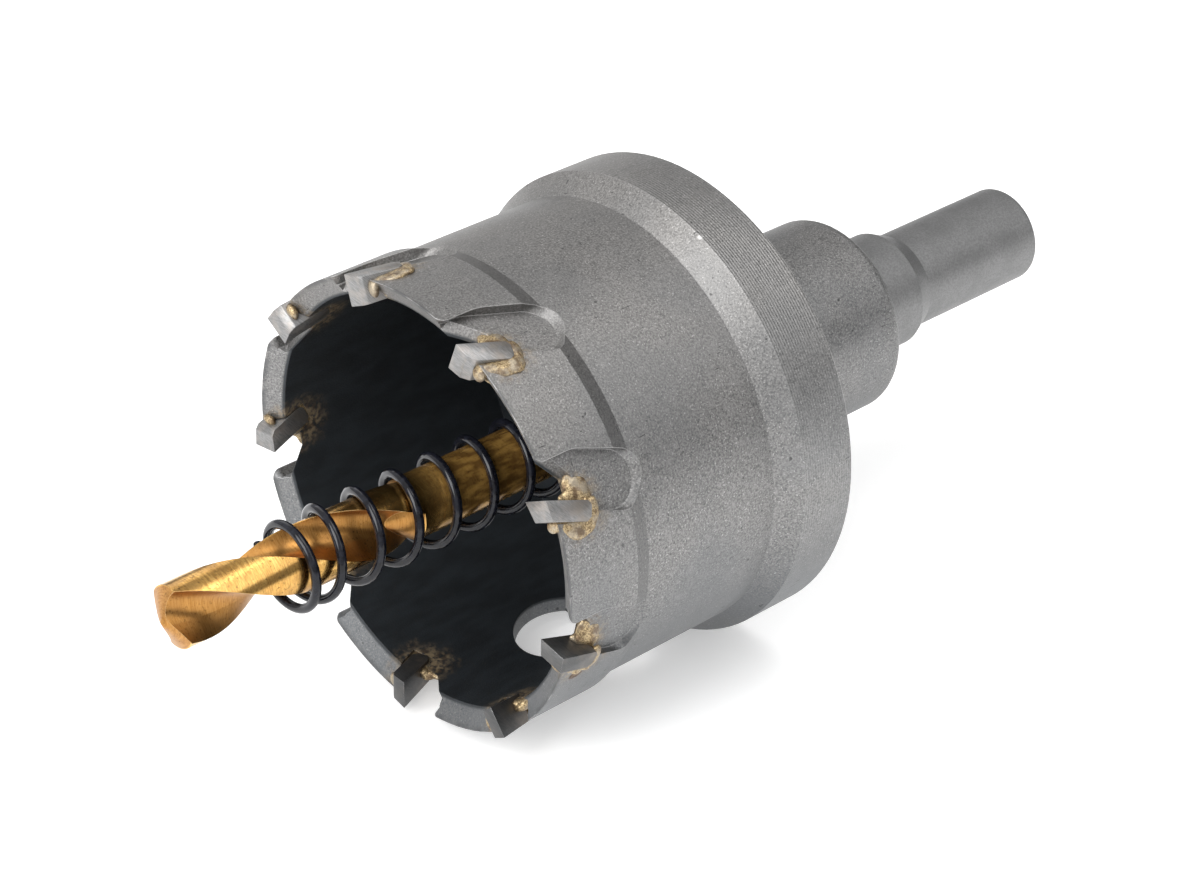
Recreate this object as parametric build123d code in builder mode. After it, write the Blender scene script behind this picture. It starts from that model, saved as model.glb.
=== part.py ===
"""Carbide-tipped hole saw with a twist pilot drill and an ejector spring.

Millimetres.  The tool lies on its side: its axis runs along X, the shank points to +X and
the collar rests on z = 0.  The origin is under the middle of the overall length.
Stations are measured along the axis from the front of the collar band, positive to the rear.
Angles are measured about the axis, from +Y towards +Z.
"""
from build123d import *
from math import cos, radians, sin, tan
import os

os.makedirs("parts", exist_ok=True)

# ---------------------------------------------------------------- overall stations
drill_reach = 54.4            # band front to the point of the pilot drill
shank_reach = 52.9            # band front to the end of the shank
band_width = 6.2              # cylindrical band of the collar
teeth_reach = 28.15           # band front to the cutting edges
tip_projection = 0.8          # cutting edges ahead of the outer edge of the rim

# ---------------------------------------------------------------- cutter body
cutting_dia = 45.0            # circle cut by the outer corners of the tips
tip_overhang = 0.5            # tips proud of the wall behind them
cup_wall = 2.0                # thickness of the wall behind the teeth
step_depth = 0.5              # relief of the wall behind the step
collar_height = 1.75          # collar proud of the relieved wall
rim_bevel = 1.2               # how far the rim's inner edge lies behind its outer edge
front_land = 8.75             # cutting edges to the step down to the relieved wall
step_length = 1.7
collar_bevel = 2.3            # length of the bevel in front of the band
band_edge_break = 0.3
cup_floor = 1.0               # cup floor, ahead of the band front
floor_corner_radius = 1.5
boss_dia = 20.0
boss_rear = 27.2
boss_edge_radius = 1.2
boss_root_radius = 1.0
side_hole_dia = 11.5
side_hole_reach = 10.3
side_hole_angle = 261.3

# ---------------------------------------------------------------- teeth
tooth_count = 9
cutter_overrun = 1.0          # the cutters of the teeth start and end this far off the tips
first_tooth_angle = 32.0      # cutting edge of the first tip
rake = 20.0                   # lean of each tip's cutting face
kerf = 3.05                   # radial width of a tip
tip_thickness = 1.85
tip_length = 5.0
tip_corner_break = 0.4        # bevel on the two rear corners of a tip
end_clearance = 4.0           # relief of a tip's end face, degrees
side_clearance = 6.0          # relief of its outer and inner faces, degrees
braze_gap = 0.15              # braze film between a tip and its seat
braze_rise = 0.15             # braze standing proud of the wall outside and inside
braze_front = 1.2             # the film starts this far behind the cutting edge

# ---------------------------------------------------------------- gullets
# Sideways places in the gullets' plane, which faces a little ahead of the cutting edge.
gullet_plane_lead = 2.0       # degrees
gullet_far_wall = 2.85
gullet_depth = 3.55           # cutting edges to the root, at the cup's bore
gullet_slant = 2.0            # how far the root falls off towards the far wall
gullet_root_flat = 0.0
gullet_overlap = 2.4          # reach of the cut into the tip's seat
gullet_root_bevel = 45.0      # lean of the root wall from the radial direction
gullet_corner_radius = 1.0    # rounding of the rim beside the far wall
gullet_break_through = 0.1    # reach of the gullet's cut into the pocket above it
corner_run_over = 0.03        # the rounding meets the rim and the wall at a slight edge
pocket_depth = 1.1            # chip pocket milled into the outside of the wall
pocket_dia = 5.3
pocket_length = 7.75          # cutting edges to the last place of the pocket cutter ...
pocket_offset = 1.7           # ... and that place sideways
pocket_lean = 21.0
pocket_ramp = 60.0            # lean of the run-out at the rear of the pocket
pocket_mouth_radius = 4.0     # bend of the far wall towards the rim

# ---------------------------------------------------------------- shank
shank_dia = 10.0
shoulder_dia = 12.0
shoulder_rear = 34.2
shoulder_taper = 2.2          # length of the cone from the shoulder to the shank
shank_end_radius = 0.6
stub_dia = 8.0
stub_length = 5.8
stub_clearance = 0.02

# ---------------------------------------------------------------- pilot drill
drill_dia = 6.0
drill_rear = 20.0
drill_clearance = 0.04
point_angle = 135.0
drill_lead = 38.0             # advance of a flute in one turn
flute_end = 27.7              # band front to where the flutes have run out
flute_runout = 4.0            # length over which a flute climbs out of the drill
flute_lead_in = 1.0           # the flute cutter starts this far ahead of the point
web_thickness = 1.2
heel_radius = 2.25            # hollow of a flute beside the heel of the land before it
heel_hollow_start = 0.9       # from the axis to where the flat of the lip meets the hollow
heel_hollow_sweep = 95.0
flute_phase = 26.8            # angle of the first lip at the point

# ---------------------------------------------------------------- grub screw
screw_dia = 5.0
screw_station = 14.0
screw_angle = 305.0
screw_clearance = 0.03
screw_recess = 0.5            # outer end below the boss surface
screw_socket_flats = 2.5
screw_socket_depth = 2.5
screw_point_gap = 0.05

# ---------------------------------------------------------------- ejector spring
wire_dia = 0.9
coil_mean_dia = 7.8
spring_reach = 41.25          # band front to the centre of the wire's front end
closed_pitch = 0.94           # both end turns are closed
main_turns = 8.67
spring_start_angle = 12.0     # place of the front end of the wire
spring_seat_gap = 0.05
spring_hang_gap = 0.05        # the loose coils hang on the top of the drill

# ---------------------------------------------------------------- derived places
rim_reach = teeth_reach - tip_projection
gullet_root = teeth_reach - gullet_depth
pocket_end = teeth_reach - pocket_length
step_start = teeth_reach - front_land
step_end = step_start - step_length
front_dia = cutting_dia - 2 * tip_overhang
cup_bore_dia = front_dia - 2 * cup_wall
body_dia = front_dia - 2 * step_depth
collar_dia = body_dia + 2 * collar_height
pocket_floor_radius = front_dia / 2 - pocket_depth
band_x = (drill_reach - shank_reach) / 2
axis_z = collar_dia / 2
tool_axis = Axis((0, 0, axis_z), (1, 0, 0))
drill_radius = drill_dia / 2
drill_bore_dia = drill_dia + 2 * drill_clearance
helix_start_angle = 90.0      # a helix along the tool axis starts straight above it
tooth_angles = [first_tooth_angle + 360 / tooth_count * i for i in range(tooth_count)]
profile_plane = Plane(origin=(band_x, 0, axis_z), x_dir=(1, 0, 0), z_dir=(0, -1, 0))


def radial_plane(radius, angle=0.0):
    """Plane square to the radius at an angle: x runs round the tool, y runs to the rear."""
    outward = (0, cos(radians(angle)), sin(radians(angle)))
    around = (0, -sin(radians(angle)), cos(radians(angle)))
    origin = (band_x, radius * outward[1], axis_z + radius * outward[2])
    return Plane(origin=origin, x_dir=around, z_dir=outward)


def across_plane(station, angle=0.0):
    """Plane square to the tool axis at a station, looking to the rear."""
    start = (0, cos(radians(angle)), sin(radians(angle)))
    return Plane(origin=(band_x + station, 0, axis_z), x_dir=start, z_dir=(1, 0, 0))


# ---------------------------------------------------------------- cutters for one tooth
# In a tooth's radial plane, sideways 0 is the cutting edge and positive is the trailing side.
tip_top = cutting_dia / 2
tip_bottom = tip_top - kerf
tip_far_side = tip_thickness * tan(radians(rake + end_clearance))
braze_top = front_dia / 2 + braze_rise
braze_bottom = cup_bore_dia / 2 - braze_rise
cut_start = tip_bottom - cutter_overrun
cut_height = kerf + 2 * cutter_overrun


def lean(across, along):
    """Point given across and along a tip, as sideways and axial places in the radial plane."""
    sideways = across * cos(radians(rake)) + along * sin(radians(rake))
    axial = along * cos(radians(rake)) - across * sin(radians(rake)) - teeth_reach
    return (sideways, axial)


def rim_corner():
    """Draws the waste outside the rounded corner where the rim meets a gullet's far wall."""
    with Locations((-gullet_far_wall, -rim_reach + gullet_corner_radius)):
        Rectangle(gullet_corner_radius, 2 * gullet_corner_radius, align=Align.MAX)
    with Locations((-gullet_far_wall - gullet_corner_radius, -rim_reach + gullet_corner_radius)):
        Circle(gullet_corner_radius + corner_run_over, mode=Mode.SUBTRACT)


def rise(height, rearward=0.0, sideways=0.0):
    """Raises the sketch of a cutter outwards by a height, leaning by so much for each mm of it."""
    direction = Vector(rearward, 1, sideways)
    extrude(amount=height * direction.length, dir=direction)


pocket_rise = tip_top + cutter_overrun - pocket_floor_radius
pocket_run = tan(radians(pocket_ramp))
pocket_run_rearward = pocket_run * cos(radians(pocket_lean))
pocket_run_sideways = pocket_run * sin(radians(pocket_lean))

with BuildPart() as pocket_cutter:
    with BuildSketch(radial_plane(pocket_floor_radius, -gullet_plane_lead)) as pocket_face:
        with Locations((pocket_offset, -pocket_end)):
            with Locations(Rotation(0, 0, -pocket_lean)):
                Circle(pocket_dia / 2)
                Rectangle(pocket_dia, rim_reach, align=(Align.CENTER, Align.MAX))
        with Locations((-gullet_far_wall, 0)):
            Rectangle(2 * pocket_dia, 4 * teeth_reach, align=(Align.MIN, Align.CENTER), mode=Mode.INTERSECT)
        mouth_bend = pocket_face.vertices().sort_by(Axis.X)[:2].sort_by(Axis.Y)[-1]
        fillet(mouth_bend, pocket_mouth_radius)
    rise(pocket_rise, pocket_run_rearward, pocket_run_sideways)
    with BuildSketch(radial_plane(pocket_floor_radius, -gullet_plane_lead)):
        rim_corner()
    rise(pocket_rise, sideways=pocket_run_sideways)

bore_radius = cup_bore_dia / 2
root_run = tan(radians(gullet_root_bevel))
bevel_start = cut_start - bore_radius
gullet_rise = pocket_floor_radius + gullet_break_through - cut_start

with BuildPart() as gullet_cutter:
    with BuildSketch(radial_plane(cut_start, -gullet_plane_lead)):
        with BuildLine():
            root_start = -gullet_root + bevel_start * root_run
            Polyline(
                (-gullet_far_wall, -2 * teeth_reach),
                (-gullet_far_wall, root_start - gullet_slant),
                (gullet_root_flat, root_start),
                (gullet_overlap, root_start),
                (gullet_overlap, -2 * teeth_reach),
                close=True,
            )
        make_face()
    rise(gullet_rise, rearward=root_run)
    with BuildSketch(radial_plane(cut_start, -gullet_plane_lead)):
        rim_corner()
    rise(gullet_rise)

with BuildPart() as seat_cutter:
    with BuildSketch(radial_plane(cut_start)):
        with BuildLine():
            Polyline(
                lean(-braze_gap, -tip_length),
                lean(-braze_gap, tip_length + braze_gap),
                lean(tip_thickness + braze_gap, tip_length + braze_gap),
                lean(tip_thickness + braze_gap, -tip_length),
                close=True,
            )
        make_face()
    extrude(amount=cut_height)

# ---------------------------------------------------------------- cutter body
with BuildPart() as cutter_body:
    with BuildSketch(profile_plane) as body_profile:
        with BuildLine():
            Polyline(
                (-rim_reach, front_dia / 2),
                (-step_start, front_dia / 2),
                (-step_end, body_dia / 2),
                (-collar_bevel, body_dia / 2),
                (0, collar_dia / 2),
                (band_width - band_edge_break, collar_dia / 2),
                (band_width, collar_dia / 2 - band_edge_break),
                (band_width, boss_dia / 2),
                (boss_rear, boss_dia / 2),
                (boss_rear, 0),
                (-cup_floor, 0),
                (-cup_floor, cup_bore_dia / 2),
                (-rim_reach + rim_bevel, cup_bore_dia / 2),
                close=True,
            )
        make_face()
        corners = body_profile.vertices()
        fillet(corners.sort_by_distance((boss_rear, boss_dia / 2))[0], boss_edge_radius)
        fillet(corners.sort_by_distance((band_width, boss_dia / 2))[0], boss_root_radius)
        fillet(corners.sort_by_distance((-cup_floor, cup_bore_dia / 2))[0], floor_corner_radius)
    revolve(axis=tool_axis)
    with BuildSketch(across_plane(-cup_floor)):
        Circle(drill_bore_dia / 2)
    extrude(amount=cup_floor + drill_rear + 2 * drill_clearance, mode=Mode.SUBTRACT)
    with BuildSketch(across_plane(boss_rear)):
        Circle(stub_dia / 2 + stub_clearance)
    extrude(amount=-stub_length - stub_clearance, mode=Mode.SUBTRACT)
    with BuildSketch(radial_plane(0, screw_angle)):
        with Locations((0, screw_station)):
            Circle(screw_dia / 2)
    extrude(amount=collar_dia / 2, mode=Mode.SUBTRACT)
    with BuildSketch(radial_plane(0, side_hole_angle)):
        with Locations((0, -side_hole_reach)):
            Circle(side_hole_dia / 2)
    extrude(amount=collar_dia, mode=Mode.SUBTRACT)
    for angle in tooth_angles:
        for cutter in (pocket_cutter, gullet_cutter, seat_cutter):
            add(cutter.part.rotate(tool_axis, angle), mode=Mode.SUBTRACT)
cutter_body.part.label = "cutter_body"
export_step(cutter_body.part, "parts/cutter_body.step")

# ---------------------------------------------------------------- carbide tips and their braze
relief_depth = kerf

with BuildPart() as tip_blank:
    with BuildSketch(radial_plane(tip_bottom)) as tip_face:
        with BuildLine():
            Polyline(
                lean(0, 0),
                lean(0, tip_length),
                lean(tip_thickness, tip_length),
                lean(tip_thickness, tip_far_side),
                close=True,
            )
        make_face()
        rear_corners = tip_face.vertices().sort_by(Axis.Y)[-2:]
        chamfer(rear_corners, tip_corner_break)
    extrude(amount=kerf)
    for face_radius, clearance in ((tip_top, side_clearance), (tip_bottom, -side_clearance)):
        with BuildSketch(across_plane(-teeth_reach - tip_length)):
            with Locations((face_radius, 0)):
                with Locations(Rotation(0, 0, clearance)):
                    face_side = Align.MIN if clearance > 0 else Align.MAX
                    Rectangle(relief_depth, 4 * tip_thickness, align=(face_side, Align.CENTER))
        extrude(amount=3 * tip_length, mode=Mode.SUBTRACT)

with BuildPart() as braze_film:
    with BuildSketch(radial_plane(braze_bottom)):
        with BuildLine():
            Polyline(
                lean(0, tip_length),
                lean(0, tip_length + braze_gap),
                lean(tip_thickness + braze_gap, tip_length + braze_gap),
                lean(tip_thickness + braze_gap, braze_front),
                lean(tip_thickness, braze_front),
                lean(tip_thickness, tip_length - tip_corner_break),
                lean(tip_thickness - tip_corner_break, tip_length),
                close=True,
            )
        make_face()
    extrude(amount=braze_top - braze_bottom)

for number, angle in enumerate(tooth_angles, start=1):
    with BuildPart() as carbide_tip:
        add(tip_blank.part.rotate(tool_axis, angle))
    carbide_tip.part.label = f"carbide_tip_{number}"
    export_step(carbide_tip.part, f"parts/carbide_tip_{number}.step")
    with BuildPart() as braze:
        add(braze_film.part.rotate(tool_axis, angle))
    braze.part.label = f"braze_{number}"
    export_step(braze.part, f"parts/braze_{number}.step")

# ---------------------------------------------------------------- shank
with BuildPart() as shank:
    with BuildSketch(profile_plane) as shank_profile:
        with BuildLine():
            Polyline(
                (boss_rear - stub_length, 0),
                (boss_rear - stub_length, stub_dia / 2),
                (boss_rear, stub_dia / 2),
                (boss_rear, shoulder_dia / 2),
                (shoulder_rear, shoulder_dia / 2),
                (shoulder_rear + shoulder_taper, shank_dia / 2),
                (shank_reach, shank_dia / 2),
                (shank_reach, 0),
                close=True,
            )
        make_face()
        fillet(shank_profile.vertices().sort_by_distance((shank_reach, shank_dia / 2))[0], shank_end_radius)
    revolve(axis=tool_axis)
shank.part.label = "shank"
export_step(shank.part, "parts/shank.step")

# ---------------------------------------------------------------- grub screw
screw_bottom = drill_dia / 2 + screw_point_gap
screw_top = boss_dia / 2 - screw_recess

with BuildPart() as set_screw:
    with BuildSketch(radial_plane(screw_bottom, screw_angle)):
        with Locations((0, screw_station)):
            Circle(screw_dia / 2 - screw_clearance)
    extrude(amount=screw_top - screw_bottom)
    with BuildSketch(radial_plane(screw_top, screw_angle)):
        with Locations((0, screw_station)):
            RegularPolygon(screw_socket_flats / 2, 6, major_radius=False)
    extrude(amount=-screw_socket_depth, mode=Mode.SUBTRACT)
set_screw.part.label = "set_screw"
export_step(set_screw.part, "parts/set_screw.step")

# ---------------------------------------------------------------- pilot drill
point_length = drill_radius / tan(radians(point_angle / 2))
flute_start = drill_reach + flute_lead_in
flute_run = flute_start - flute_end
web_radius = web_thickness / 2
flute_mouth = drill_radius + wire_dia

with BuildPart() as flute_cutter:
    start_plane = across_plane(-flute_start, helix_start_angle)
    with BuildLine() as flute_path:
        Helix(drill_lead, flute_run, drill_radius, center=start_plane.origin, direction=(1, 0, 0))
    with BuildSketch(start_plane):
        with BuildLine():
            lip = Line((flute_mouth, -web_radius), (heel_hollow_start, -web_radius))
            hollow = JernArc(lip @ 1, lip % 1, heel_radius, heel_hollow_sweep)
            Polyline(hollow @ 1, (drill_radius, -flute_mouth), (flute_mouth, -flute_mouth), lip @ 0)
        make_face()
    sweep(path=flute_path.line, is_frenet=True)
    with BuildSketch(profile_plane):
        with BuildLine():
            Polyline(
                (-flute_end - flute_runout, 0),
                (-flute_end, drill_radius),
                (-flute_end, flute_mouth),
                (0, flute_mouth),
                (0, 0),
                close=True,
            )
        make_face()
    revolve(axis=tool_axis, mode=Mode.SUBTRACT)

with BuildPart() as pilot_drill:
    with BuildSketch(profile_plane):
        with BuildLine():
            Polyline(
                (-drill_reach, 0),
                (-drill_reach + point_length, drill_radius),
                (drill_rear, drill_radius),
                (drill_rear, 0),
                close=True,
            )
        make_face()
    revolve(axis=tool_axis)
    lead_in_angle = 360 * flute_lead_in / drill_lead
    for flute_angle in (flute_phase, flute_phase + 180):
        turn = flute_angle - lead_in_angle - helix_start_angle
        add(flute_cutter.part.rotate(tool_axis, turn), mode=Mode.SUBTRACT)
pilot_drill.part.label = "pilot_drill"
export_step(pilot_drill.part, "parts/pilot_drill.step")

# ---------------------------------------------------------------- ejector spring
spring_drop = (coil_mean_dia - wire_dia - drill_dia) / 2 - spring_hang_gap
spring_axis = Axis((0, 0, axis_z - spring_drop), (1, 0, 0))
main_start = closed_pitch - spring_reach
rear_start = -cup_floor - spring_seat_gap - wire_dia / 2 - closed_pitch
main_pitch = (rear_start - main_start) / main_turns
main_angle = spring_start_angle - 360
rear_angle = main_angle - 360 * main_turns
coils = [
    (-spring_reach, closed_pitch, 1, spring_start_angle),
    (main_start, main_pitch, main_turns, main_angle),
    (rear_start, closed_pitch, 1, rear_angle),
]

with BuildPart() as ejector_spring:
    with BuildLine() as wire_path:
        for station, pitch, turns, angle in coils:
            centre = (band_x + station, 0, axis_z - spring_drop)
            coil = Helix(
                pitch, pitch * turns, coil_mean_dia / 2, centre, (1, 0, 0), lefthand=True, mode=Mode.PRIVATE
            )
            add(coil.rotate(spring_axis, angle - helix_start_angle))
    with BuildSketch(Plane(origin=wire_path.wire() @ 0, z_dir=wire_path.wire() % 0)):
        Circle(wire_dia / 2)
    sweep(path=wire_path.wire(), is_frenet=True)
ejector_spring.part.label = "ejector_spring"
export_step(ejector_spring.part, "parts/ejector_spring.step")
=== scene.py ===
"""Carbide tipped hole saw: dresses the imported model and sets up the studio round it."""

import logging
import math
from dataclasses import dataclass
from enum import Enum

import bmesh
import bpy
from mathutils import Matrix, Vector, noise


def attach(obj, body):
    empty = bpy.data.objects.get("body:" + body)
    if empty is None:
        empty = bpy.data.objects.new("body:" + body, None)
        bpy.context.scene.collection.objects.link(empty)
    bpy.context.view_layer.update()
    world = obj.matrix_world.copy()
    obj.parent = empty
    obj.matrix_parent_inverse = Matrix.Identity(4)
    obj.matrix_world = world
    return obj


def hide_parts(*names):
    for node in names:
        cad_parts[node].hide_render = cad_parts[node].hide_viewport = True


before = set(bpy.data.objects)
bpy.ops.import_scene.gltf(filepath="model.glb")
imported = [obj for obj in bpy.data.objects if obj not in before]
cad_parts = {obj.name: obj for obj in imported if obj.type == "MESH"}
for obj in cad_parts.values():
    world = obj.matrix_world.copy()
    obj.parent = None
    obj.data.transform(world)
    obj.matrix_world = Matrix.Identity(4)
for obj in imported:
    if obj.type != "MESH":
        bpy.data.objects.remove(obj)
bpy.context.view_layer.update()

MM = 0.001
BAND_FRONT = 0.75  # x of the band's front edge, mm
AXIS_HEIGHT = 23.25  # z of the tool's axis, mm

log = logging.getLogger("hole_saw")


class Slot(Enum):
    """Material slots of the part."""

    BLASTED_STEEL = "blasted_steel"
    SHANK_STEEL = "shank_steel"
    CARBIDE = "carbide"
    BRAZE_METAL = "braze_metal"
    GOLD_COATED_STEEL = "gold_coated_steel"
    BLACK_SPRING_STEEL = "black_spring_steel"
    BLACK_OXIDE_STEEL = "black_oxide_steel"


def on_tool(station: float, radius: float, angle: float) -> Vector:
    """Place on the tool in scene metres.

    Args:
        station: distance behind the band's front edge, mm.
        radius: distance from the tool's axis, mm.
        angle: degrees from +Y towards +Z.

    Returns:
        The point in the frame's metres.
    """
    turn = math.radians(angle)
    return Vector((BAND_FRONT + station, radius * math.cos(turn), AXIS_HEIGHT + radius * math.sin(turn))) * MM


# ---------------------------------------------------------------- node bench
Socket = bpy.types.NodeSocket


class Bench:
    """Builds the node tree of one finish."""

    def __init__(self, name: str) -> None:
        """Starts an empty material called name."""
        self.material = bpy.data.materials.new(name)
        self.material.use_nodes = True
        self.tree = self.material.node_tree
        self.tree.nodes.clear()
        self.output = self.tree.nodes.new("ShaderNodeOutputMaterial")
        self.place = self._millimetres()

    def put(self, kind: str, **values: object) -> bpy.types.Node:
        """Adds a node.

        Args:
            kind: the node's type name.
            values: input values, with underscores for the spaces in a socket's name.

        Returns:
            The new node.
        """
        node = self.tree.nodes.new(kind)
        for key, value in values.items():
            self.feed(node, key.replace("_", " "), value)
        return node

    def feed(self, node: bpy.types.Node, key: str | int, value: object) -> None:
        """Sets one input of a node, or links it where value is a socket."""
        if isinstance(value, Socket):
            self.tree.links.new(value, node.inputs[key])
        else:
            node.inputs[key].default_value = value

    def _millimetres(self) -> Socket:
        """Object coordinates in millimetres, from the tool's axis and the band's front."""
        coordinates = self.tree.nodes.new("ShaderNodeTexCoord")
        shift = self.vector("MULTIPLY", coordinates.outputs["Object"], (1 / MM,) * 3)
        return self.vector("SUBTRACT", shift, (BAND_FRONT, 0.0, AXIS_HEIGHT))

    def vector(self, operation: str, first: object, second: object) -> Socket:
        """Vector arithmetic on two values or sockets."""
        node = self.tree.nodes.new("ShaderNodeVectorMath")
        node.operation = operation
        self.feed(node, 0, first)
        if second is not None:
            self.feed(node, 1, second)
        return node.outputs["Value" if operation in ("LENGTH", "DOT_PRODUCT") else "Vector"]

    def math(self, operation: str, first: object, second: object = None, third: object = None) -> Socket:
        """Arithmetic on up to three values or sockets."""
        node = self.tree.nodes.new("ShaderNodeMath")
        node.operation = operation
        for slot, value in enumerate((first, second, third)):
            if value is not None:
                self.feed(node, slot, value)
        return node.outputs[0]

    def product(self, first: object, *others: object) -> Socket:
        """All the values multiplied together."""
        result = first
        for other in others:
            result = self.math("MULTIPLY", result, other)
        return result

    def step(self, value: object, low: float, high: float, to_low: float = 0.0,
             to_high: float = 1.0) -> Socket:
        """Smooth ramp of value from low to high, mapped to to_low and to_high."""
        node = self.tree.nodes.new("ShaderNodeMapRange")
        node.interpolation_type = "SMOOTHSTEP"
        for slot, item in enumerate((value, low, high, to_low, to_high)):
            self.feed(node, slot, item)
        return node.outputs[0]

    def noise(self, scale: float, detail: float = 2.0, stretch: tuple[float, float, float] | None = None,
              roughness: float = 0.5, at: Socket | None = None) -> Socket:
        """Noise with features of about 1/scale millimetres.

        Args:
            scale: features to the millimetre.
            detail: octaves.
            stretch: factors on the coordinates, for grain that runs one way.
            roughness: share of the finer octaves.
            at: coordinates, if not the place on the tool.

        Returns:
            The noise, from 0 to 1.
        """
        where = at or self.place
        if stretch:
            where = self.vector("MULTIPLY", where, stretch)
        node = self.put("ShaderNodeTexNoise", Vector=where, Scale=scale, Detail=detail, Roughness=roughness)
        return node.outputs["Fac"]

    def mix(self, share: object, first: object, second: object, blend: str = "MIX") -> Socket:
        """Blend of two colours."""
        node = self.tree.nodes.new("ShaderNodeMix")
        node.data_type = "RGBA"
        node.blend_type = blend
        self.feed(node, 0, share)
        self.feed(node, 6, first)
        self.feed(node, 7, second)
        return node.outputs[2]

    def split(self) -> tuple[Socket, Socket, Socket]:
        """Place on the tool as station, +Y and +Z in millimetres."""
        node = self.put("ShaderNodeSeparateXYZ", Vector=self.place)
        return node.outputs[0], node.outputs[1], node.outputs[2]

    def radius(self) -> Socket:
        """Distance from the tool's axis in millimetres."""
        return self.vector("LENGTH", self.vector("MULTIPLY", self.place, (0.0, 1.0, 1.0)), None)

    def turn(self) -> Socket:
        """Angle round the tool in degrees."""
        _, y, z = self.split()
        return self.math("DEGREES", self.math("ARCTAN2", z, y))

    def spot(self, centre: tuple[float, float, float], size: tuple[float, float, float]) -> Socket:
        """Ragged patch round one place.

        Args:
            centre: its middle as station, +Y and +Z, mm.
            size: its half sizes, mm.

        Returns:
            A mask that is 1 inside the patch.
        """
        away = self.vector("DIVIDE", self.vector("SUBTRACT", self.place, centre), size)
        ragged = self.math("MULTIPLY_ADD", self.noise(2.5, 2.0), 0.8, -0.4)
        return self.step(self.math("ADD", self.vector("LENGTH", away, None), ragged), 1.0, 0.75)

    def along_axis(self) -> Socket:
        """Direction along the tool, for a sheen that spreads across turned lines."""
        node = self.put("ShaderNodeCombineXYZ", X=1.0)
        return node.outputs[0]

    def soft_edges(self, width: float) -> tuple[Socket, Socket]:
        """Normal rounded over the edges, and how near an edge a point is.

        Args:
            width: rounding in millimetres.

        Returns:
            The rounded normal and a mask that is 1 on sharp edges.
        """
        bevel = self.tree.nodes.new("ShaderNodeBevel")
        bevel.samples = 6
        bevel.inputs["Radius"].default_value = width * MM
        flat = self.tree.nodes.new("ShaderNodeNewGeometry").outputs["Normal"]
        agreement = self.vector("DOT_PRODUCT", bevel.outputs["Normal"], flat)
        return bevel.outputs["Normal"], self.step(agreement, 1.0, 0.8)

    def bump(self, height: Socket, depth: float, normal: Socket | None = None) -> Socket:
        """Bump from a height.

        Args:
            height: height field from 0 to 1.
            depth: what a height of 1 means, mm.
            normal: normal to start from.

        Returns:
            The bumped normal.
        """
        node = self.put("ShaderNodeBump", Height=height, Distance=depth * MM, Strength=1.0)
        if normal is not None:
            self.feed(node, "Normal", normal)
        return node.outputs["Normal"]

    def finish(self, **values: object) -> bpy.types.Material:
        """Closes the tree with the surface shader and returns the material."""
        shader = self.put("ShaderNodeBsdfPrincipled", **values)
        self.tree.links.new(shader.outputs[0], self.output.inputs["Surface"])
        return self.material


Colour = tuple[float, float, float, float]


def grey(level: float, warmth: float = 0.0) -> Colour:
    """Linear grey, a little warm or cool."""
    return (level * (1 + warmth), level, level * (1 - warmth), 1.0)


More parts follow.
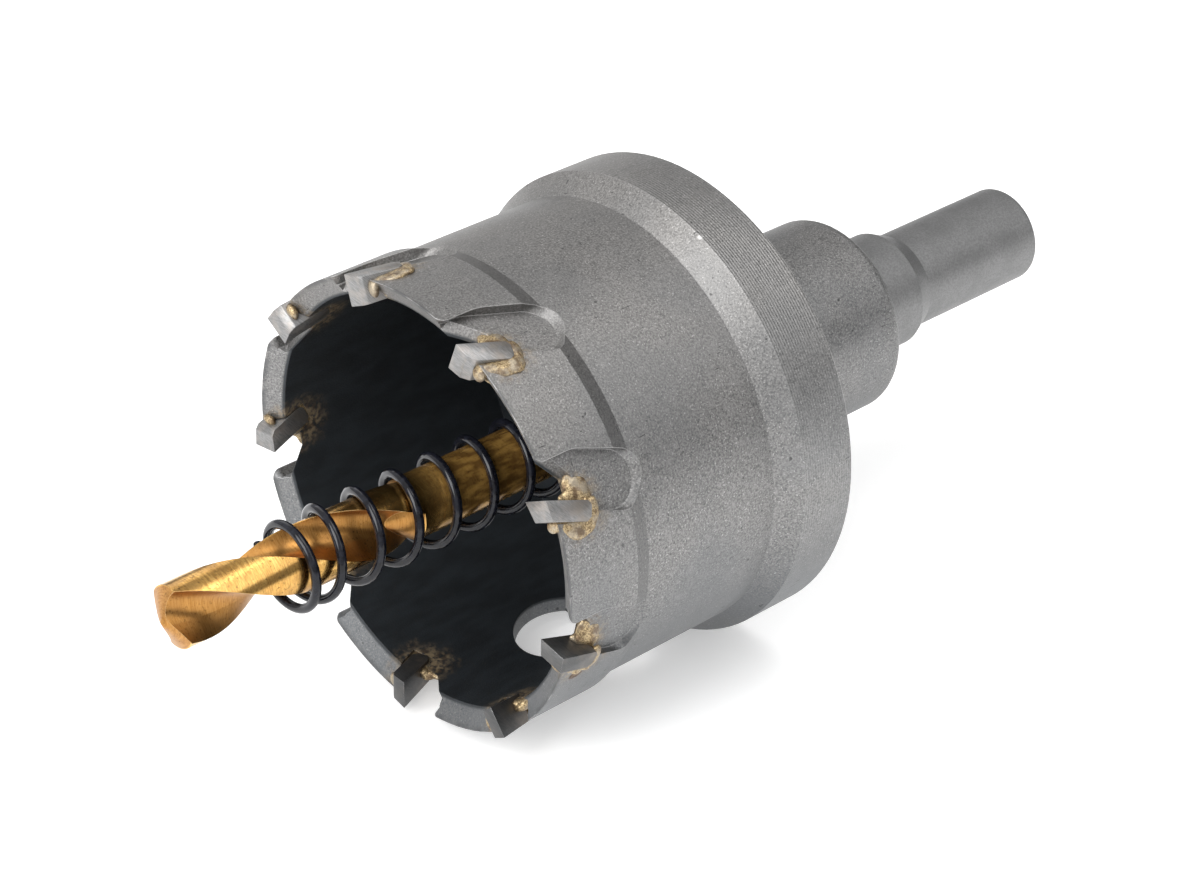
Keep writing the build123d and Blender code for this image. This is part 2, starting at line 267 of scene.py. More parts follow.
# ---------------------------------------------------------------- finishes
@dataclass(frozen=True)
class BlastedSteel:
    """Bead blasted steel of the cutter, with its turned band and its bore painted near-black as shade.

    Stations, radii and places are in millimetres.
    """

    slot: Slot = Slot.BLASTED_STEEL
    grain: float = 5.5  # grains to the millimetre
    level: float = 0.225
    bore_shade_level: float = 0.026
    bore_radius: float = 20.12
    land_radius: float = 22.0
    band_radius: float = 22.7
    bevel_radius: float = 21.5
    turning_pitch: float = 0.3
    rim: float = -27.0
    cone_front: float = -19.4
    cone_rear: float = -17.7
    first_tooth: float = 32.0  # degrees
    tooth_pitch: float = 40.0  # degrees
    tip_middle: float = 4.6  # degrees behind the cutting edge
    tip_station: float = 24.6  # ahead of the band's front
    pit: tuple[float, float, float] = (-25.2, -20.2, -8.65)
    pit_size: tuple[float, float, float] = (0.95, 0.6, 0.55)
    nick: tuple[float, float, float] = (-0.05, -8.92, 21.4)
    nick_size: tuple[float, float, float] = (0.25, 0.26, 0.25)

    def make(self) -> bpy.types.Material:
        """Builds the material."""
        bench = Bench(self.slot.value)
        station, _, height = bench.split()
        radius = bench.radius()
        fine = bench.noise(self.grain, 2.0, roughness=0.55)
        in_bore = bench.product(bench.step(radius, self.bore_radius + 0.25, self.bore_radius),
                                bench.step(station, 0.2, -0.2))
        colour = self.blasted(bench, fine)
        colour = self.clouds(bench, colour)
        # Painted highlight, painted shade and painted warm light, set by place on the body.
        colour = self.painted_light_zones(bench, colour, radius, station, height)
        colour = self.marks(bench, colour)
        rounded, edges = bench.soft_edges(0.14)
        # Edges made paler: partly edge wear, partly a painted highlight.
        colour = bench.mix(bench.product(edges, 0.55), colour, grey(0.55, 0.01))
        colour = self.sooty_rim(bench, colour, station)
        # Painted shade: the bore is made near-black.
        colour = bench.mix(in_bore, colour, self.bore_shade(bench))
        colour = self.heat(bench, colour, station)
        turned = self.turning(bench, radius, station)
        colour = bench.mix(bench.product(turned, 0.16), colour, grey(0.5))
        relief = bench.math("MULTIPLY_ADD", turned, 0.7, fine)
        return bench.finish(
            Base_Color=colour,
            Metallic=bench.step(in_bore, 0.0, 1.0, 0.88, 0.3),
            Roughness=bench.step(fine, 0.2, 0.8, 0.4, 0.56),
            Normal=bench.bump(relief, 0.022, rounded),
        )

    def blasted(self, bench: Bench, fine: Socket) -> Socket:
        """Colour of the blasted grain with its sparkle."""
        sparkle = bench.noise(self.grain * 1.3, 0.0)
        dull = grey(self.level * 0.55)
        bright = grey(self.level * 1.45, 0.02)
        colour = bench.mix(bench.step(fine, 0.25, 0.75), dull, bright)
        return bench.mix(bench.step(sparkle, 0.68, 0.8, 0.0, 0.6), colour, grey(0.6, 0.02))

    def clouds(self, bench: Bench, colour: Socket) -> Socket:
        """Lays broad dull and pale patches over the colour."""
        broad = bench.noise(0.11, 2.0)
        patch = bench.noise(0.6, 3.0)
        colour = bench.mix(bench.step(broad, 0.35, 0.7, 0.0, 0.3), colour, grey(self.level * 0.72, -0.06))
        return bench.mix(bench.step(patch, 0.45, 0.75, 0.0, 0.22), colour, grey(self.level * 1.35, 0.01))

    def painted_light_zones(self, bench: Bench, colour: Socket, radius: Socket, station: Socket, height: Socket) -> Socket:
        """Paints a highlight on the collar's bevel, painted shade on the step behind the teeth and on the
        lower side, and painted warm light on the top.

        Args:
            bench: the finish's node bench.
            colour: colour so far.
            radius: distance from the axis, mm.
            station: distance behind the band's front, mm.
            height: distance above the axis, mm.

        Returns:
            The new colour.
        """
        bevel = bench.product(
            bench.step(station, -0.1, 0.0),
            bench.step(radius, self.band_radius + 0.5, self.band_radius + 0.4),
            bench.step(radius, self.bevel_radius, self.bevel_radius + 0.05),
        )
        cone_shade = bench.product(
            bench.step(station, self.cone_front - 0.05, self.cone_front + 0.05),
            bench.step(station, self.cone_rear + 0.05, self.cone_rear - 0.05),
            bench.step(radius, self.bevel_radius - 0.3, self.bevel_radius - 0.1),
        )
        # Painted highlight: the collar's bevel is made paler.
        colour = bench.mix(bench.product(bevel, 0.55), colour, grey(0.6, 0.03))
        # Painted shade on the step cone behind the teeth.
        colour = bench.mix(bench.product(cone_shade, 0.4), colour, grey(0.08))
        # Painted warm light on the top of the body.
        colour = bench.mix(bench.step(height, 4.0, 22.0, 0.0, 0.2), colour, grey(self.level, 0.09))
        # Painted shade, darker and cooler, on the lower side.
        return bench.mix(bench.step(height, 2.0, -16.0, 0.0, 0.6), colour, grey(self.level * 0.55, -0.08))

    def marks(self, bench: Bench, colour: Socket) -> Socket:
        """Scatters dark pits, bright flecks and short scratches, and sets one pit and one nick."""
        pits = bench.noise(1.6, 1.0)
        flecks = bench.noise(2.4, 1.0, stretch=(1.0, 1.0, 1.3))
        along = bench.noise(1.0, 1.0, stretch=(0.6, 5.0, 5.0))
        around = bench.noise(1.0, 1.0, stretch=(6.0, 0.7, 0.7))
        few = bench.step(bench.noise(0.25, 1.0), 0.52, 0.62)
        lines = bench.math("MAXIMUM", bench.step(along, 0.71, 0.76), bench.step(around, 0.73, 0.78))
        colour = bench.mix(bench.step(pits, 0.745, 0.79, 0.0, 0.7), colour, grey(0.05))
        colour = bench.mix(bench.step(flecks, 0.76, 0.81, 0.0, 0.5), colour, grey(0.5))
        colour = bench.mix(bench.product(lines, few, 0.75), colour, grey(0.05))
        colour = bench.mix(bench.spot(self.pit, self.pit_size), colour, (0.07, 0.035, 0.02, 1))
        return bench.mix(bench.spot(self.nick, self.nick_size), colour, grey(0.45, 0.02))

    def sooty_rim(self, bench: Bench, colour: Socket, station: Socket) -> Socket:
        """Darkens patches of the cup's front edge."""
        patches = bench.step(bench.noise(0.5, 3.0), 0.36, 0.58)
        front = bench.product(bench.step(station, self.rim, self.rim - 0.3), patches)
        return bench.mix(bench.product(front, 0.75), colour, grey(0.10, -0.03))

    def bore_shade(self, bench: Bench) -> Socket:
        """Painted shade: near-black colour of the bore, with a cool tint."""
        drift = bench.noise(0.8, 3.0, stretch=(0.3, 1.0, 1.0))
        dark = grey(self.bore_shade_level * 0.85, -0.14)
        pale = grey(self.bore_shade_level * 1.25, -0.16)
        return bench.mix(bench.step(drift, 0.3, 0.7), dark, pale)

    def heat(self, bench: Bench, colour: Socket, station: Socket) -> Socket:
        """Browns the steel round each brazed tip."""
        half = self.tooth_pitch / 2
        turn = bench.math("ADD", bench.turn(), 360.0 - self.first_tooth + half)
        local = bench.math("SUBTRACT", bench.math("MODULO", turn, self.tooth_pitch), half)
        offset = bench.math("SUBTRACT", local, self.tip_middle)
        aside = bench.product(offset, math.radians(self.land_radius))
        along = bench.math("ADD", station, self.tip_station)
        square = bench.math("ADD", bench.product(aside, aside), bench.product(along, along))
        wobble = bench.math("MULTIPLY_ADD", bench.noise(0.9, 3.0), 2.4, -1.2)
        away = bench.math("ADD", bench.math("SQRT", square), wobble)
        near = bench.step(away, 3.9, 1.2, 0.0, 0.7)
        grain = bench.step(bench.noise(2.6, 3.0), 0.3, 0.6)
        brown, tan = (0.13, 0.085, 0.045, 1), (0.36, 0.27, 0.16, 1)
        tint = bench.mix(bench.step(bench.noise(1.3, 2.0), 0.4, 0.6), brown, tan)
        return bench.mix(bench.product(near, grain), colour, tint)

    def turning(self, bench: Bench, radius: Socket, station: Socket) -> Socket:
        """Fine tool marks round the band."""
        on_band = bench.product(bench.step(radius, self.band_radius, self.band_radius + 0.3),
                                bench.step(station, -0.2, 0.2))
        wave = bench.product(station, 2 * math.pi / self.turning_pitch)
        ridge = bench.math("SINE", bench.math("MULTIPLY_ADD", bench.noise(0.5, 2.0), 2.4, wave))
        worn = bench.step(bench.noise(0.2, 2.0), 0.3, 0.6, 0.35, 1.0)
        return bench.product(bench.step(ridge, -1.0, 1.0), on_band, worn)


@dataclass(frozen=True)
class ShankSteel:
    """Smooth matt steel of the shank."""

    slot: Slot = Slot.SHANK_STEEL
    level: float = 0.235

    def make(self) -> bpy.types.Material:
        """Builds the material."""
        bench = Bench(self.slot.value)
        fine = bench.noise(5.0, 3.0, roughness=0.6)
        cloud = bench.noise(0.4, 3.0)
        colour = bench.mix(bench.step(fine, 0.3, 0.7), grey(self.level * 0.85), grey(self.level * 1.15))
        colour = bench.mix(bench.step(cloud, 0.4, 0.7, 0.0, 0.4), colour, grey(self.level * 0.75))
        rounded, edges = bench.soft_edges(0.15)
        # Edges made paler: partly edge wear, partly a painted highlight.
        colour = bench.mix(bench.product(edges, 0.6), colour, grey(0.6))
        normal = bench.bump(fine, 0.012, rounded)
        return bench.finish(Base_Color=colour, Metallic=0.85, Roughness=0.5, Normal=normal)


@dataclass(frozen=True)
class GroundCarbide:
    """Sintered carbide with diagonal grinding marks."""

    slot: Slot = Slot.CARBIDE
    level: float = 0.23

    def make(self) -> bpy.types.Material:
        """Builds the material."""
        bench = Bench(self.slot.value)
        slanted = bench.put("ShaderNodeMapping", Vector=bench.place, Rotation=(0.5, 0.6, 0.4)).outputs[0]
        marks = bench.noise(1.0, 3.0, stretch=(14.0, 1.4, 1.4), roughness=0.7, at=slanted)
        cloud = bench.noise(0.9, 2.0)
        grain = bench.noise(7.0, 2.0)
        colour = bench.mix(bench.step(marks, 0.3, 0.7), grey(self.level * 0.75), grey(self.level * 1.3, 0.01))
        colour = bench.mix(bench.step(cloud, 0.42, 0.7, 0.0, 0.5), colour, (0.36, 0.325, 0.295, 1))
        colour = bench.mix(bench.step(grain, 0.6, 0.8, 0.0, 0.5), colour, grey(0.16))
        station, _, height = bench.split()
        # Painted shade: tips low on the tool are made near-black.
        low = bench.product(bench.step(height, -1.0, -6.0), 0.78)
        colour = bench.mix(low, colour, grey(0.045, -0.04))
        flank = bench.product(bench.step(station, -26.6, -24.6), bench.step(cloud, 0.35, 0.6, 0.2, 0.6))
        colour = bench.mix(flank, colour, (0.22, 0.19, 0.16, 1))
        rounded, edges = bench.soft_edges(0.06)
        # Edges made paler: partly edge wear, partly a painted highlight.
        colour = bench.mix(bench.product(edges, 0.6), colour, grey(0.55))
        normal = bench.bump(marks, 0.004, rounded)
        return bench.finish(Base_Color=colour, Metallic=0.8, Roughness=0.4, Normal=normal)


@dataclass(frozen=True)
class BrazeMetal:
    """Grainy brass braze, browned where it ran thin."""

    slot: Slot = Slot.BRAZE_METAL

    def make(self) -> bpy.types.Material:
        """Builds the material."""
        bench = Bench(self.slot.value)
        grain = bench.noise(6.5, 3.0, roughness=0.75)
        cloud = bench.noise(0.7, 3.0)
        dark = bench.noise(1.1, 3.0)
        colour = bench.mix(bench.step(grain, 0.36, 0.64), (0.17, 0.115, 0.06, 1), (0.58, 0.45, 0.26, 1))
        colour = bench.mix(bench.step(cloud, 0.45, 0.62, 0.0, 0.7), colour, (0.36, 0.32, 0.26, 1))
        colour = bench.mix(bench.step(dark, 0.5, 0.66, 0.0, 0.75), colour, (0.12, 0.075, 0.045, 1))
        normal = bench.bump(grain, 0.04)
        return bench.finish(Base_Color=colour, Metallic=0.75, Roughness=0.42, Normal=normal)


@dataclass(frozen=True)
class GoldCoat:
    """Titanium nitride coat of the pilot drill over its grinding lines."""

    slot: Slot = Slot.GOLD_COATED_STEEL
    land_radius: float = 2.97  # mm
    in_sun: float = -29.0  # station ahead of the cup, mm
    in_shade: float = -22.0  # station inside the cup, mm

    def make(self) -> bpy.types.Material:
        """Builds the material."""
        bench = Bench(self.slot.value)
        station, _, _ = bench.split()
        lines = bench.noise(1.0, 3.0, stretch=(16.0, 0.9, 0.9), roughness=0.6)
        cloud = bench.noise(0.5, 3.0)
        speck = bench.noise(4.5, 2.0)
        flute = bench.step(bench.radius(), self.land_radius, self.land_radius - 0.12)
        inside = bench.step(station, self.in_sun, self.in_shade)
        land = bench.mix(bench.step(lines, 0.3, 0.7), (0.52, 0.27, 0.065, 1), (0.86, 0.54, 0.18, 1))
        ground = bench.mix(bench.step(lines, 0.3, 0.7), (0.34, 0.155, 0.038, 1), (0.48, 0.25, 0.075, 1))
        colour = bench.mix(flute, land, ground)
        colour = bench.mix(bench.step(cloud, 0.4, 0.7, 0.0, 0.55), colour, (0.34, 0.17, 0.055, 1))
        # Painted shade inside the cup, with streaks of painted reflection.
        reflection_streak = bench.noise(1.0, 3.0, stretch=(0.5, 1.4, 1.4))
        shade_with_reflections = bench.mix(bench.step(reflection_streak, 0.38, 0.66), (0.15, 0.068, 0.014, 1), (0.60, 0.34, 0.085, 1))
        colour = bench.mix(bench.product(inside, 0.8), colour, shade_with_reflections)
        colour = bench.mix(bench.step(speck, 0.58, 0.72, 0.0, 0.6), colour, (0.12, 0.06, 0.02, 1))
        rounded, edges = bench.soft_edges(0.05)
        # Painted highlight: edges are made a bright gold.
        colour = bench.mix(bench.product(edges, 0.6), colour, (0.95, 0.72, 0.40, 1))
        normal = bench.bump(lines, 0.006, rounded)
        rough = bench.step(flute, 0.0, 1.0, 0.2, 0.34)
        metal = bench.step(inside, 0.0, 1.0, 1.0, 0.62)
        return bench.finish(
            Base_Color=colour,
            Metallic=metal,
            Roughness=rough,
            Normal=normal,
            Anisotropic=0.35,
            Tangent=bench.along_axis(),
        )


@dataclass(frozen=True)
class BlackSpringSteel:
    """Glossy black spring wire."""

    slot: Slot = Slot.BLACK_SPRING_STEEL

    def make(self) -> bpy.types.Material:
        """Builds the material."""
        bench = Bench(self.slot.value)
        drawn = bench.noise(2.0, 2.0, roughness=0.5)
        colour = bench.mix(bench.step(drawn, 0.3, 0.7), (0.004, 0.004, 0.006, 1), (0.011, 0.012, 0.018, 1))
        normal = bench.bump(drawn, 0.002)
        rough = bench.step(drawn, 0.3, 0.8, 0.09, 0.15)
        return bench.finish(Base_Color=colour, Roughness=rough, Normal=normal, Specular_IOR_Level=0.3)


@dataclass(frozen=True)
class BlackOxideSteel:
    """Black oxide of the grub screw."""

    slot: Slot = Slot.BLACK_OXIDE_STEEL

    def make(self) -> bpy.types.Material:
        """Builds the material."""
        bench = Bench(self.slot.value)
        grain = bench.noise(5.0, 3.0)
        colour = bench.mix(bench.step(grain, 0.3, 0.7), (0.012, 0.012, 0.013, 1), (0.045, 0.044, 0.042, 1))
        rounded, edges = bench.soft_edges(0.08)
        # Edges made paler: partly edge wear, partly a painted highlight.
        colour = bench.mix(bench.product(edges, 0.5), colour, grey(0.18))
        normal = bench.bump(grain, 0.01, rounded)
        return bench.finish(Base_Color=colour, Metallic=0.7, Roughness=0.42, Normal=normal)


# ---------------------------------------------------------------- mesh help
def piece_from(name: str, mesh: bmesh.types.BMesh, finish: bpy.types.Material,
               replaced: tuple[str, ...], smooth_angle: float = 40.0) -> bpy.types.Object:
    """Turns a mesh into a finished piece of the tool.

    Args:
        name: the piece's name.
        mesh: its mesh, which is freed.
        finish: its material.
        replaced: CAD nodes that it stands for.
        smooth_angle: edges that turn less than this are shaded smooth, degrees.

    Returns:
        The new object.
    """
    bmesh.ops.recalc_face_normals(mesh, faces=mesh.faces)
    for face in mesh.faces:
        face.smooth = True
    for edge in mesh.edges:
        edge.smooth = len(edge.link_faces) == 2 and edge.calc_face_angle(0.0) < math.radians(smooth_angle)
    data = bpy.data.meshes.new(name)
    mesh.to_mesh(data)
    mesh.free()
    data.materials.append(finish)
    piece = bpy.data.objects.new(name, data)
    bpy.context.scene.collection.objects.link(piece)
    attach(piece, "root")
    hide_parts(*replaced)
    return piece


# ---------------------------------------------------------------- teeth
@dataclass(frozen=True)
class ToothPlace:
    """Place of one tooth and the axes that its parts are drawn in."""

    number: int
    first_angle: float = 32.0
    count: int = 9
    rake: float = 20.0
    reach: float = 28.15

    @property
    def angle(self) -> float:
        """Angle of the cutting edge round the tool, degrees."""
        return self.first_angle + 360.0 / self.count * (self.number - 1)

    def point(self, across: float, along: float, radius: float) -> Vector:
        """Point of a tooth in scene metres.

        Args:
            across: from the cutting face to the back, mm.
            along: from the front end to the rear, mm.
            radius: from the tool's axis, measured square to the tooth, mm.

        Returns:
            The point in the frame's metres.
        """
        lean = math.radians(self.rake)
        sideways = across * math.cos(lean) + along * math.sin(lean)
        station = along * math.cos(lean) - across * math.sin(lean) - self.reach
        turn = math.radians(self.angle)
        outward = Vector((0, math.cos(turn), math.sin(turn)))
        around = Vector((0, -math.sin(turn), math.cos(turn)))
        origin = Vector((BAND_FRONT + station, 0, AXIS_HEIGHT))
        return (origin + outward * radius + around * sideways) * MM


@dataclass
class CarbideTips:
    """The nine ground carbide tips."""

    finish: bpy.types.Material
    thickness: float = 1.85
    length: float = 5.0
    top: float = 22.5
    kerf: float = 3.05
    side_clearance: float = 6.0
    far_side: float = 0.824
    rear_break: float = 0.4
    edge_break: float = 0.07
    worn_corner: tuple[float, ...] = (0.5, 0.3, 0.5, 0.0, 0.1, 0.25, 0.3, 0.1, 0.35)

    def build(self) -> None:
        """Builds every tip."""
        for number in range(1, 10):
            self.tip(ToothPlace(number))
            log.info("carbide tip %d", number)

    def outline(self, number: int) -> list[tuple[float, float]]:
        """Corners of one tip seen from outside, as across and along."""
        side = self.length - self.rear_break
        corners = [
            (0.0, 0.0),
            (0.0, side),
            (self.rear_break, self.length),
            (self.thickness - self.rear_break, self.length),
            (self.thickness, side),
        ]
        worn = self.worn_corner[number - 1]
        corners.append((self.thickness, self.far_side + worn))
        if worn:
            inner = self.thickness - worn
            corners.append((inner, inner * self.far_side / self.thickness))
        return corners

    def tip(self, tooth: ToothPlace) -> bpy.types.Object:
        """Builds one tip in its seat."""
        outline = self.outline(tooth.number)
        fall = math.tan(math.radians(self.side_clearance))
        lean = math.radians(tooth.rake)
        mesh = bmesh.new()
        rings = []
        for level, sign in ((self.top - self.kerf, 1.0), (self.top, -1.0)):
            ring = []
            for across, along in outline:
                sideways = across * math.cos(lean) + along * math.sin(lean)
                ring.append(mesh.verts.new(tooth.point(across, along, level + sign * fall * sideways)))
            rings.append(ring)
        mesh.faces.new(rings[0])
        mesh.faces.new(rings[1])
        for i in range(len(outline)):
            j = (i + 1) % len(outline)
            mesh.faces.new((rings[0][i], rings[0][j], rings[1][j], rings[1][i]))
        bmesh.ops.bevel(mesh, geom=mesh.edges[:], offset=self.edge_break * MM, segments=2, profile=0.5,
                        affect="EDGES")
        return piece_from(f"tip_{tooth.number}", mesh, self.finish,
                          (f"carbide_tip_{tooth.number}",), 30.0)


@dataclass(frozen=True)
class Lump:
    """One lump of braze: its place on the tooth and its half sizes, mm."""

    across: float
    along: float
    radius: float
    wide: float
    deep: float
    high: float


@dataclass
class BrazeBeads:
    """Braze that fills round each tip and spills on the steel.

    fillet_share scales the trailing fillet of each tooth.
    """

    finish: bpy.types.Material
    voxel: float = 0.11  # mm
    swelling: float = 0.22
    rippling: float = 0.10
    lumps: tuple[Lump, ...] = (
        Lump(0.9, 5.3, 21.75, 1.35, 0.7, 0.42),
        Lump(2.0, 4.8, 21.7, 0.95, 0.95, 0.42),
        Lump(2.3, 3.8, 21.6, 1.05, 1.3, 0.42),
        Lump(2.25, 2.9, 21.55, 0.75, 1.0, 0.4),
        Lump(2.15, 1.85, 21.0, 0.75, 0.5, 0.85),
        Lump(-0.3, 4.9, 20.95, 1.0, 1.0, 0.36),
        Lump(-1.1, 4.6, 20.85, 1.1, 1.1, 0.24),
        Lump(-0.45, 3.9, 20.75, 0.8, 1.0, 0.5),
        Lump(-1.4, 3.9, 20.45, 1.3, 0.8, 0.4),
        Lump(1.0, 4.9, 20.15, 1.5, 0.9, 0.34),
        Lump(2.2, 3.8, 20.2, 0.8, 1.3, 0.34),
        Lump(-0.2, 3.9, 20.25, 0.5, 1.0, 0.35),
    )

    fillet_share: tuple[float, ...] = (0.95, 1.0, 1.12, 1.0, 0.5, 0.65, 0.65, 0.85, 0.8)
    fillet_start: float = 1.8  # lumps further across than this lie on the trailing side

    def build(self) -> None:
        """Builds the braze of every tooth."""
        for number in range(1, 10):
            self.bead(ToothPlace(number))
            log.info("braze %d", number)

    def bead(self, tooth: ToothPlace) -> bpy.types.Object:
        """Melts one tooth's lumps together."""
        mesh = bmesh.new()
        for index, lump in enumerate(self.lumps):
            seed = Vector((tooth.number * 3.7, index * 1.9, 0.5))
            swell = 1.0 + self.swelling * noise.noise(seed)
            if lump.across > self.fillet_start:
                swell *= self.fillet_share[tooth.number - 1]
            made = bmesh.ops.create_icosphere(mesh, subdivisions=3, radius=1.0)
            for vert in made["verts"]:
                ball = vert.co.copy()
                ripple = 1.0 + self.rippling * noise.noise(ball * 1.6 + seed * 5)
                vert.co = tooth.point(
                    lump.across + ball.x * lump.wide * swell * ripple,
                    lump.along + ball.y * lump.deep * swell * ripple,
                    lump.radius + ball.z * lump.high * ripple,
                )
        piece = piece_from(f"braze_bead_{tooth.number}", mesh, self.finish,
                           (f"braze_{tooth.number}",))
        melt = piece.modifiers.new("melt", "REMESH")
        melt.mode = "VOXEL"
        melt.voxel_size = self.voxel * MM
        melt.use_smooth_shade = True
        settle = piece.modifiers.new("settle", "SMOOTH")
        settle.factor = 0.6
        settle.iterations = 8
        return piece


# ---------------------------------------------------------------- spring
@dataclass
class EjectorSpring:
    """Loose left-hand spring over the pilot drill, with closed end turns."""

    finish: bpy.types.Material
    wire: float = 0.9
    mean: float = 7.8
    reach: float = 41.25
    closed_pitch: float = 0.94
    main_turns: float = 8.67
    start_angle: float = 12.0
    floor: float = -1.0
    seat_gap: float = 0.05
    drop: float = 0.4
    per_turn: int = 72
    sides: int = 20
    end_break: float = 0.08
    end_size: float = 0.8
    settling: int = 5  # passes that ease the pitch into the closed end turns

    def centre_line(self) -> list[Vector]:
        """Points along the middle of the wire."""
        rear = self.floor - self.seat_gap - self.wire / 2
        turns = self.main_turns + 2
        count = round(turns * self.per_turn)
        points = []
        for i in range(count + 1):
            turned = turns * i / count
            if turned <= 1:
                station = -self.reach + self.closed_pitch * turned
            elif turned >= turns - 1:
                station = rear - self.closed_pitch * (turns - turned)
            else:
                span = rear - self.closed_pitch + self.reach - self.closed_pitch
                station = -self.reach + self.closed_pitch + span * (turned - 1) / self.main_turns
            point = on_tool(station, self.mean / 2, self.start_angle - 360 * turned)
            points.append(point - Vector((0, 0, self.drop * MM)))
        for _ in range(self.settling):
            stations = [p.x for p in points]
            for i in range(3, len(points) - 3):
                points[i].x = sum(stations[i - 3:i + 4]) / 7
        return points

    def rings(self) -> list[tuple[Vector, Vector, Vector, float]]:
        """Rings of the wire, as middle, two directions across the wire and share of its size."""
        points = self.centre_line()
        last = len(points) - 1
        frames = []
        for i, point in enumerate(points):
            ahead = (points[min(i + 1, last)] - points[max(i - 1, 0)]).normalized()
            outward = point - Vector((point.x, 0, (AXIS_HEIGHT - self.drop) * MM))
            outward = (outward - ahead * outward.dot(ahead)).normalized()
            frames.append((point, ahead, outward, ahead.cross(outward)))
        cut = self.end_break * MM
        start, ahead, *start_way = frames[0]
        end, behind, *end_way = frames[-1]
        body = [(point, outward, aside, 1.0) for point, _, outward, aside in frames[1:-1]]
        return [
            (start, *start_way, self.end_size),
            (start + ahead * cut, *start_way, 1.0),
            *body,
            (end - behind * cut, *end_way, 1.0),
            (end, *end_way, self.end_size),
        ]

    def build(self) -> bpy.types.Object:
        """Builds the wire as a tube along its centre line."""
        mesh = bmesh.new()
        loops = []
        for point, outward, aside, size in self.rings():
            loop = []
            for k in range(self.sides):
                turn = 2 * math.pi * k / self.sides
                offset = (outward * math.cos(turn) + aside * math.sin(turn)) * (self.wire / 2 * MM * size)
                loop.append(mesh.verts.new(point + offset))
            loops.append(loop)
        for near, far in zip(loops, loops[1:]):
            for k in range(self.sides):
                j = (k + 1) % self.sides
                mesh.faces.new((near[k], near[j], far[j], far[k]))
        mesh.faces.new(loops[0])
        mesh.faces.new(loops[-1])
        log.info("ejector spring")
        return piece_from("spring", mesh, self.finish, ("ejector_spring",), 35.0)


# ---------------------------------------------------------------- CAD pieces
@dataclass
class TurnedSteel:
    """The CAD pieces that keep their own shape and take a finish."""

    finishes: dict[str, bpy.types.Material]

    def build(self) -> None:
        """Gives each piece its finish."""
        for name, finish in self.finishes.items():
            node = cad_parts[name]
            node.data.materials.clear()
            node.data.materials.append(finish)
            log.info("%s finished in %s", name, finish.name)


# ---------------------------------------------------------------- studio
@dataclass(frozen=True)
class Softbox:
    """One soft lamp: its place and size in metres, power in watts."""

    name: str
    place: tuple[float, float, float]
    size: float
    power: float


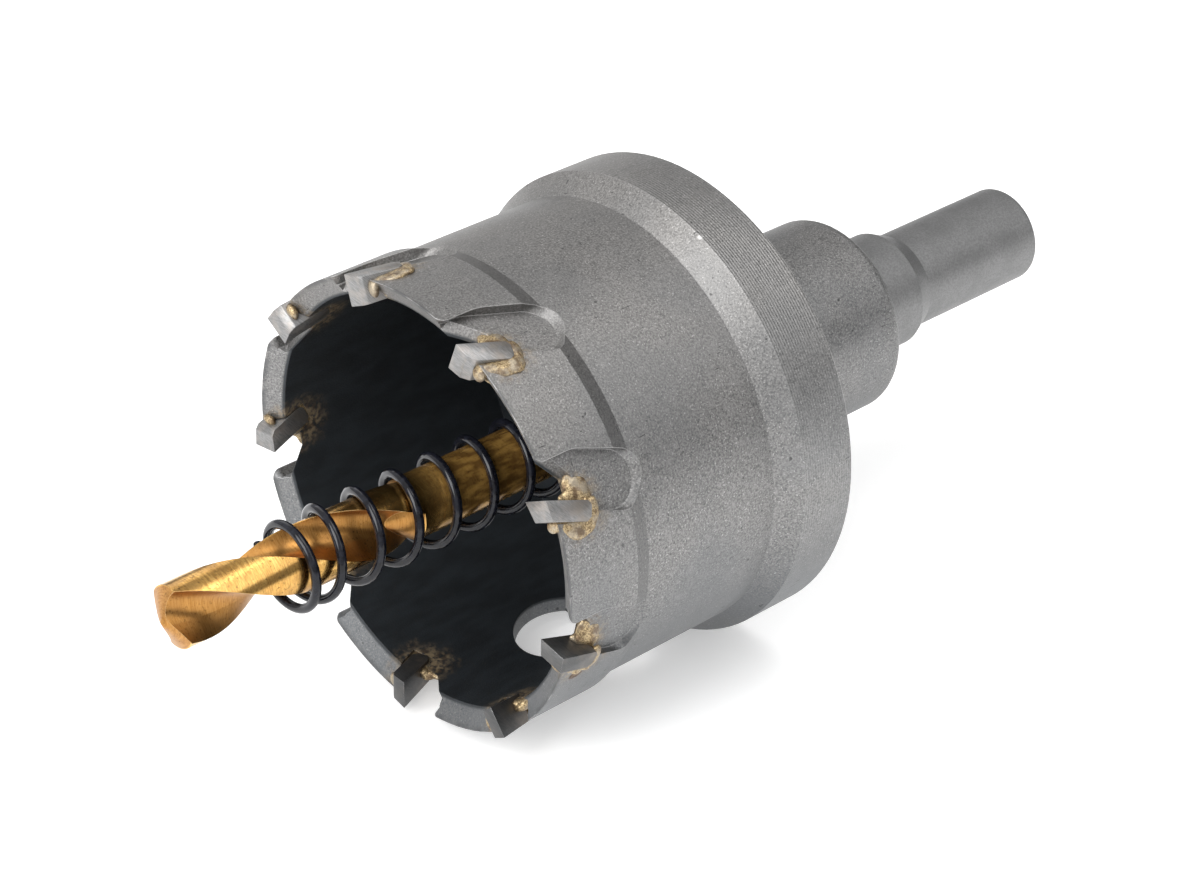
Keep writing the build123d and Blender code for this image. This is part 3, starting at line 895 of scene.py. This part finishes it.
@dataclass
class Studio:
    """Pale floor, soft lamps and the camera."""

    aim: tuple[float, float, float] = (0.0, 0.0, 0.022)
    softboxes: tuple[Softbox, ...] = (
        Softbox("key", (-0.50, -0.02, 0.42), 0.42, 3.7),
        Softbox("top", (0.08, -0.10, 0.58), 0.30, 0.9),
        Softbox("fill", (0.22, -0.40, 0.46), 0.42, 0.8),
        Softbox("rear", (0.15, 0.55, 0.40), 0.40, 0.5),
    )
    camera_place: tuple[float, float, float] = (-166.25, -180.6, 169.55)
    camera_aim: tuple[float, float, float] = (0.56942, 0.63422, -0.52300)
    lens: float = 90.909
    bright_side: tuple[float, float, float] = (-0.75, 0.1, 0.65)
    dim: float = 0.2
    bright: float = 0.85
    fade_from: float = -0.7
    fade_to: float = 0.9
    floor_size: float = 6.0
    floor_colour: float = 0.86
    floor_glow: float = 0.36

    def build(self) -> None:
        """Sets up floor, world, lamps and camera."""
        self.floor()
        self.world()
        for box in self.softboxes:
            self.lamp(box)
        self.camera()
        bpy.context.scene.view_settings.view_transform = "Standard"
        log.info("studio")

    def floor(self) -> None:
        """Lays the pale floor."""
        mesh = bmesh.new()
        bmesh.ops.create_grid(mesh, x_segments=8, y_segments=8, size=self.floor_size / 2)
        data = bpy.data.meshes.new("floor")
        mesh.to_mesh(data)
        mesh.free()
        floor = bpy.data.objects.new("floor", data)
        bpy.context.scene.collection.objects.link(floor)
        data.materials.append(self.paper())

    def paper(self) -> bpy.types.Material:
        """White paper that shows as white and keeps shadows."""
        material = bpy.data.materials.new("paper")
        material.use_nodes = True
        nodes, links = material.node_tree.nodes, material.node_tree.links
        nodes.clear()
        diffuse = nodes.new("ShaderNodeBsdfDiffuse")
        diffuse.inputs["Color"].default_value = grey(self.floor_colour)
        glow = nodes.new("ShaderNodeEmission")
        glow.inputs["Color"].default_value = grey(self.floor_glow)
        path = nodes.new("ShaderNodeLightPath")
        seen = nodes.new("ShaderNodeMath")
        seen.operation = "MAXIMUM"
        either = nodes.new("ShaderNodeMath")
        either.operation = "MAXIMUM"
        links.new(path.outputs["Is Camera Ray"], seen.inputs[0])
        links.new(path.outputs["Is Glossy Ray"], seen.inputs[1])
        links.new(seen.outputs[0], either.inputs[0])
        links.new(path.outputs["Is Transmission Ray"], either.inputs[1])
        links.new(either.outputs[0], glow.inputs["Strength"])
        both = nodes.new("ShaderNodeAddShader")
        links.new(diffuse.outputs[0], both.inputs[0])
        links.new(glow.outputs[0], both.inputs[1])
        output = nodes.new("ShaderNodeOutputMaterial")
        links.new(both.outputs[0], output.inputs["Surface"])
        return material

    def world(self) -> None:
        """Pale surround, brighter ahead of the teeth and overhead."""
        world = bpy.data.worlds.new("surround")
        bpy.context.scene.world = world
        world.use_nodes = True
        nodes, links = world.node_tree.nodes, world.node_tree.links
        nodes.clear()
        place = nodes.new("ShaderNodeTexCoord")
        split = nodes.new("ShaderNodeVectorMath")
        split.operation = "DOT_PRODUCT"
        split.inputs[1].default_value = Vector(self.bright_side).normalized()
        links.new(place.outputs["Generated"], split.inputs[0])
        fade = nodes.new("ShaderNodeMapRange")
        fade.interpolation_type = "SMOOTHSTEP"
        fade.inputs["From Min"].default_value = self.fade_from
        fade.inputs["From Max"].default_value = self.fade_to
        links.new(split.outputs["Value"], fade.inputs[0])
        shade = nodes.new("ShaderNodeMix")
        shade.data_type = "RGBA"
        links.new(fade.outputs[0], shade.inputs[0])
        shade.inputs[6].default_value = grey(self.dim)
        shade.inputs[7].default_value = grey(self.bright)
        background = nodes.new("ShaderNodeBackground")
        links.new(shade.outputs[2], background.inputs["Color"])
        output = nodes.new("ShaderNodeOutputWorld")
        links.new(background.outputs[0], output.inputs["Surface"])

    def lamp(self, box: Softbox) -> None:
        """Hangs one soft lamp."""
        data = bpy.data.lights.new(box.name, "AREA")
        data.shape = "SQUARE"
        data.size = box.size
        data.energy = box.power
        lamp = bpy.data.objects.new(box.name, data)
        lamp.location = box.place
        lamp.rotation_mode = "QUATERNION"
        lamp.rotation_quaternion = (Vector(self.aim) - Vector(box.place)).to_track_quat("-Z", "Y")
        bpy.context.scene.collection.objects.link(lamp)

    def camera(self) -> None:
        """Places the camera."""
        data = bpy.data.cameras.new("camera")
        data.lens = self.lens
        data.sensor_width = 36.0
        data.clip_start = 0.01
        data.clip_end = 20.0
        camera = bpy.data.objects.new("camera", data)
        camera.location = Vector(self.camera_place) * MM
        camera.rotation_mode = "QUATERNION"
        camera.rotation_quaternion = Vector(self.camera_aim).to_track_quat("-Z", "Y")
        bpy.context.scene.collection.objects.link(camera)
        bpy.context.scene.camera = camera


def main() -> None:
    """Builds the tool and its studio in order."""
    logging.basicConfig(level=logging.INFO, format="%(name)s: %(message)s")
    Studio().build()
    TurnedSteel({
        "cutter_body": BlastedSteel().make(),
        "shank": ShankSteel().make(),
        "pilot_drill": GoldCoat().make(),
        "set_screw": BlackOxideSteel().make(),
    }).build()
    CarbideTips(GroundCarbide().make()).build()
    BrazeBeads(BrazeMetal().make()).build()
    EjectorSpring(BlackSpringSteel().make()).build()


if __name__ == "__main__":
    main()
